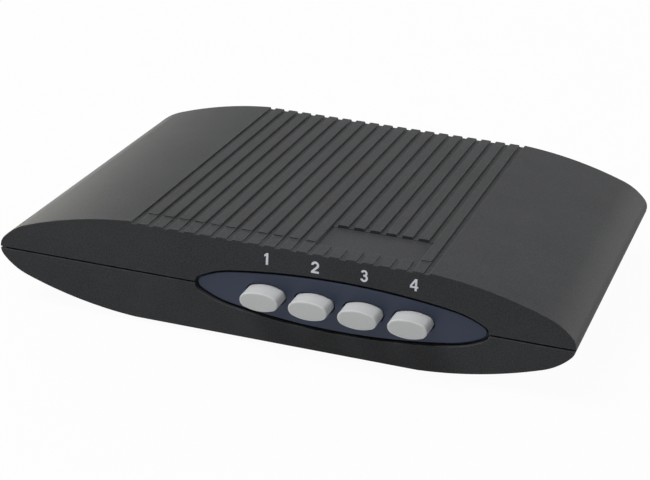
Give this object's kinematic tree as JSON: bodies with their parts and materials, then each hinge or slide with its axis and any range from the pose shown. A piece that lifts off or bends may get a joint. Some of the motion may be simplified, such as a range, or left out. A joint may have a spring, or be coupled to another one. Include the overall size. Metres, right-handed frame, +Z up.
{
  "type": "hdmi switch",
  "caption": "Low desktop switch box with a lens-shaped section, ribbed top, oval panel of push buttons at the front and a row of HDMI sockets at the rear.",
  "frame": {"origin": "on the surface under the feet, below the middle of the whole object's box", "axes": "+X to the right of someone facing the buttons, +Y from the front to the rear, +Z up"},
  "size_m": [0.179, 0.1264, 0.0325],
  "materials": {
    "case_plastic": "fine moulded texture, dark warm grey",
    "panel_plastic": "satin, dark blue grey",
    "rear_plastic": "fine moulded texture, black",
    "button_plastic": "satin, light grey",
    "switch_plastic": "moulded, black",
    "wafer_plastic": "pressed phenolic, brown",
    "spring_steel": "drawn wire",
    "contact_brass": "stamped strip",
    "tinned_metal": "tinned",
    "board_laminate": "green solder mask",
    "socket_shell": "tin plated sheet, satin",
    "socket_core": "moulded, black",
    "chip_epoxy": "moulded epoxy",
    "can_aluminium": "drawn can",
    "capacitor_ceramic": "fired ceramic",
    "screw_steel": "zinc plated",
    "foot_rubber": "matt black"
  },
  "bodies": {
    "root": {"top_cover": "case_plastic", "base_tray": "case_plastic", "front_panel": "panel_plastic", "rear_panel": "rear_plastic", "return_spring_1": "spring_steel", "return_spring_2": "spring_steel", "return_spring_3": "spring_steel", "return_spring_4": "spring_steel", "switch_body_1": "switch_plastic", "switch_body_2": "switch_plastic", "switch_body_3": "switch_plastic", "switch_body_4": "switch_plastic", "switch_base_1": "wafer_plastic", "switch_base_2": "wafer_plastic", "switch_base_3": "wafer_plastic", "switch_base_4": "wafer_plastic", "switch_pins": "tinned_metal", "main_board": "board_laminate", "hdmi_shell_1": "socket_shell", "hdmi_shell_2": "socket_shell", "hdmi_shell_3": "socket_shell", "hdmi_shell_4": "socket_shell", "hdmi_shell_5": "socket_shell", "hdmi_core_1": "socket_core", "hdmi_core_2": "socket_core", "hdmi_core_3": "socket_core", "hdmi_core_4": "socket_core", "hdmi_core_5": "socket_core", "signal_chip": "chip_epoxy", "regulator": "chip_epoxy", "esd_arrays": "chip_epoxy", "can_capacitors": "can_aluminium", "chip_capacitors": "capacitor_ceramic", "case_screws": "screw_steel", "board_screws": "screw_steel", "rubber_feet": "foot_rubber"},
    "button_1": {"button_cap_1": "button_plastic", "plunger_1": "switch_plastic", "contact_clip_1": "contact_brass"},
    "button_2": {"button_cap_2": "button_plastic", "plunger_2": "switch_plastic", "contact_clip_2": "contact_brass"},
    "button_3": {"button_cap_3": "button_plastic", "plunger_3": "switch_plastic", "contact_clip_3": "contact_brass"},
    "button_4": {"button_cap_4": "button_plastic", "plunger_4": "switch_plastic", "contact_clip_4": "contact_brass"}
  },
  "joints": [
    {"name": "button_1_press", "type": "slide", "parent": "root", "child": "button_1", "axis": [0, 1, 0], "range_m": [0, 0.0025], "stiffness_N_per_m": 300, "springref_m": -0.002, "deforming": ["return_spring_1"]},
    {"name": "button_2_press", "type": "slide", "parent": "root", "child": "button_2", "axis": [0, 1, 0], "range_m": [0, 0.0025], "stiffness_N_per_m": 300, "springref_m": -0.002, "deforming": ["return_spring_2"]},
    {"name": "button_3_press", "type": "slide", "parent": "root", "child": "button_3", "axis": [0, 1, 0], "range_m": [0, 0.0025], "stiffness_N_per_m": 300, "springref_m": -0.002, "deforming": ["return_spring_3"]},
    {"name": "button_4_press", "type": "slide", "parent": "root", "child": "button_4", "axis": [0, 1, 0], "range_m": [0, 0.0025], "stiffness_N_per_m": 300, "springref_m": -0.002, "deforming": ["return_spring_4"]}
  ]
}
